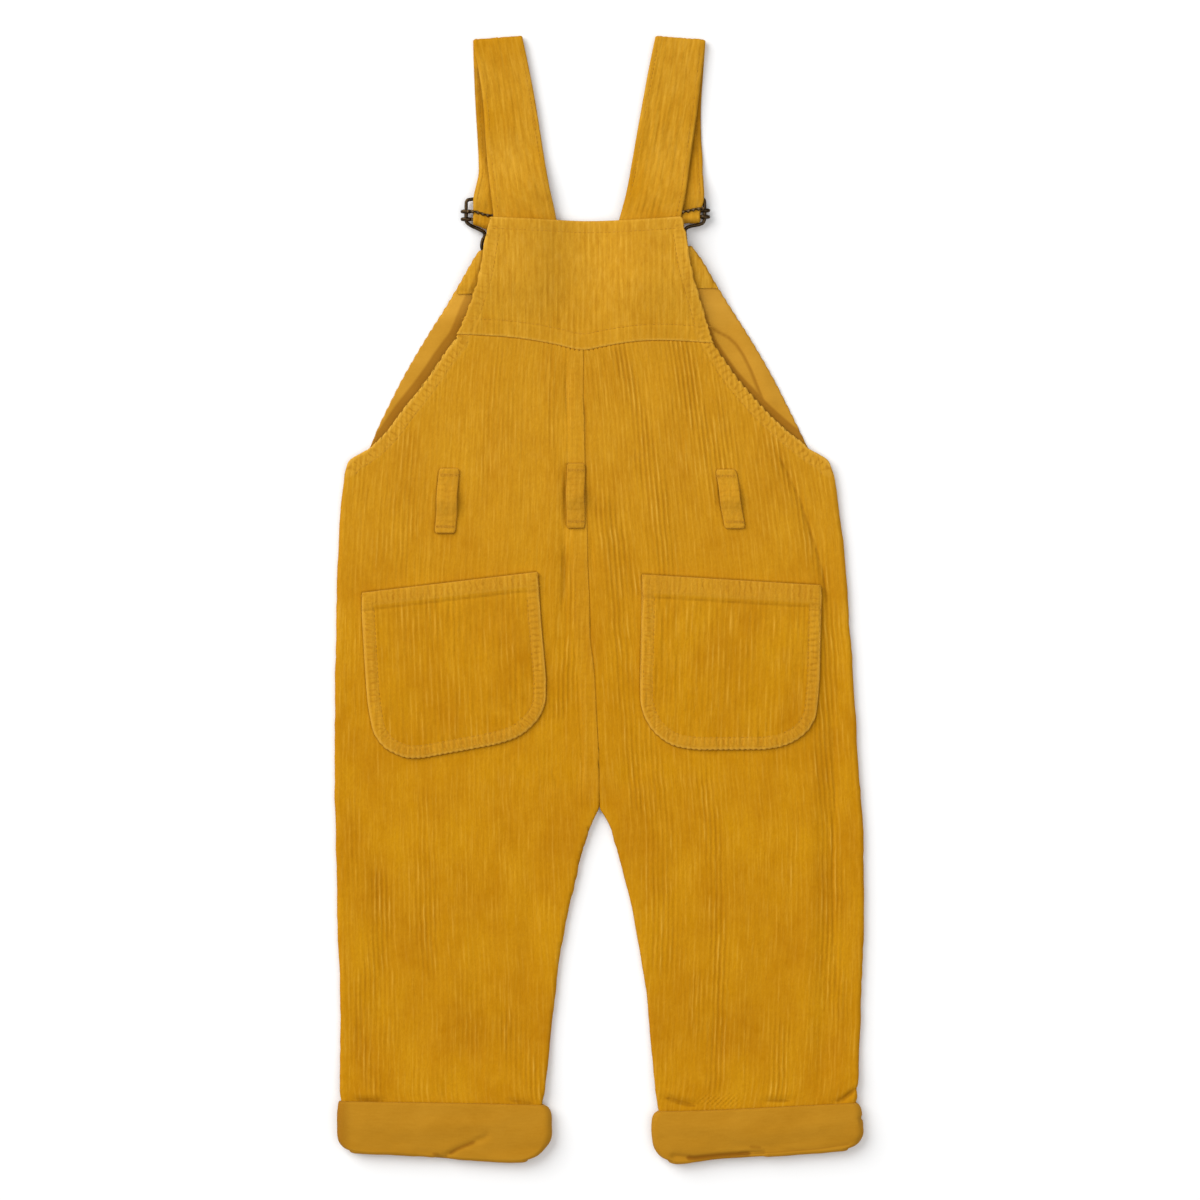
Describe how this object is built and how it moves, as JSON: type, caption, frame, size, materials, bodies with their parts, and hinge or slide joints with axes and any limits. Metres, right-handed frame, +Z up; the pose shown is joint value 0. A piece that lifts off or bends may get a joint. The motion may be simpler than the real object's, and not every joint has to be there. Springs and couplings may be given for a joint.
{
  "type": "kids dungarees",
  "caption": "Corduroy kids dungarees laid flat face down, with a yoke, patch pockets, belt loops, folded straps on wire clips and turned-up cuffs.",
  "frame": {"origin": "middle of the garment's box, on the surface it lies on", "axes": "+Y from the cuffs towards the shoulders, +Z up, out of the back of the garment, +X across it towards the wearer's right side"},
  "size_m": [0.3176, 0.6769, 0.0123],
  "materials": {
    "corduroy": "mustard cotton corduroy, about nine wales to the inch, soft uneven nap",
    "corduroy_inside": "the smooth, slightly darker back of the same cloth",
    "antique_brass": "dark antiqued brass wire and plate, worn lighter on its edges"
  },
  "bodies": {
    "root": {"back_left": "corduroy", "back_right": "corduroy", "back_yoke": "corduroy", "front_left": "corduroy", "front_right": "corduroy", "front_bib": "corduroy", "front_bib_facing": "corduroy", "pocket_left": "corduroy", "pocket_right": "corduroy", "belt_loop_left": "corduroy", "belt_loop_centre": "corduroy", "belt_loop_right": "corduroy", "strap_left": "corduroy", "strap_right": "corduroy", "cuff_left": "corduroy_inside", "cuff_right": "corduroy_inside", "buckle_frame_left": "antique_brass", "buckle_frame_right": "antique_brass", "buckle_slide_left": "antique_brass", "buckle_slide_right": "antique_brass", "bib_button_left": "antique_brass", "bib_button_right": "antique_brass"}
  },
  "joints": []
}
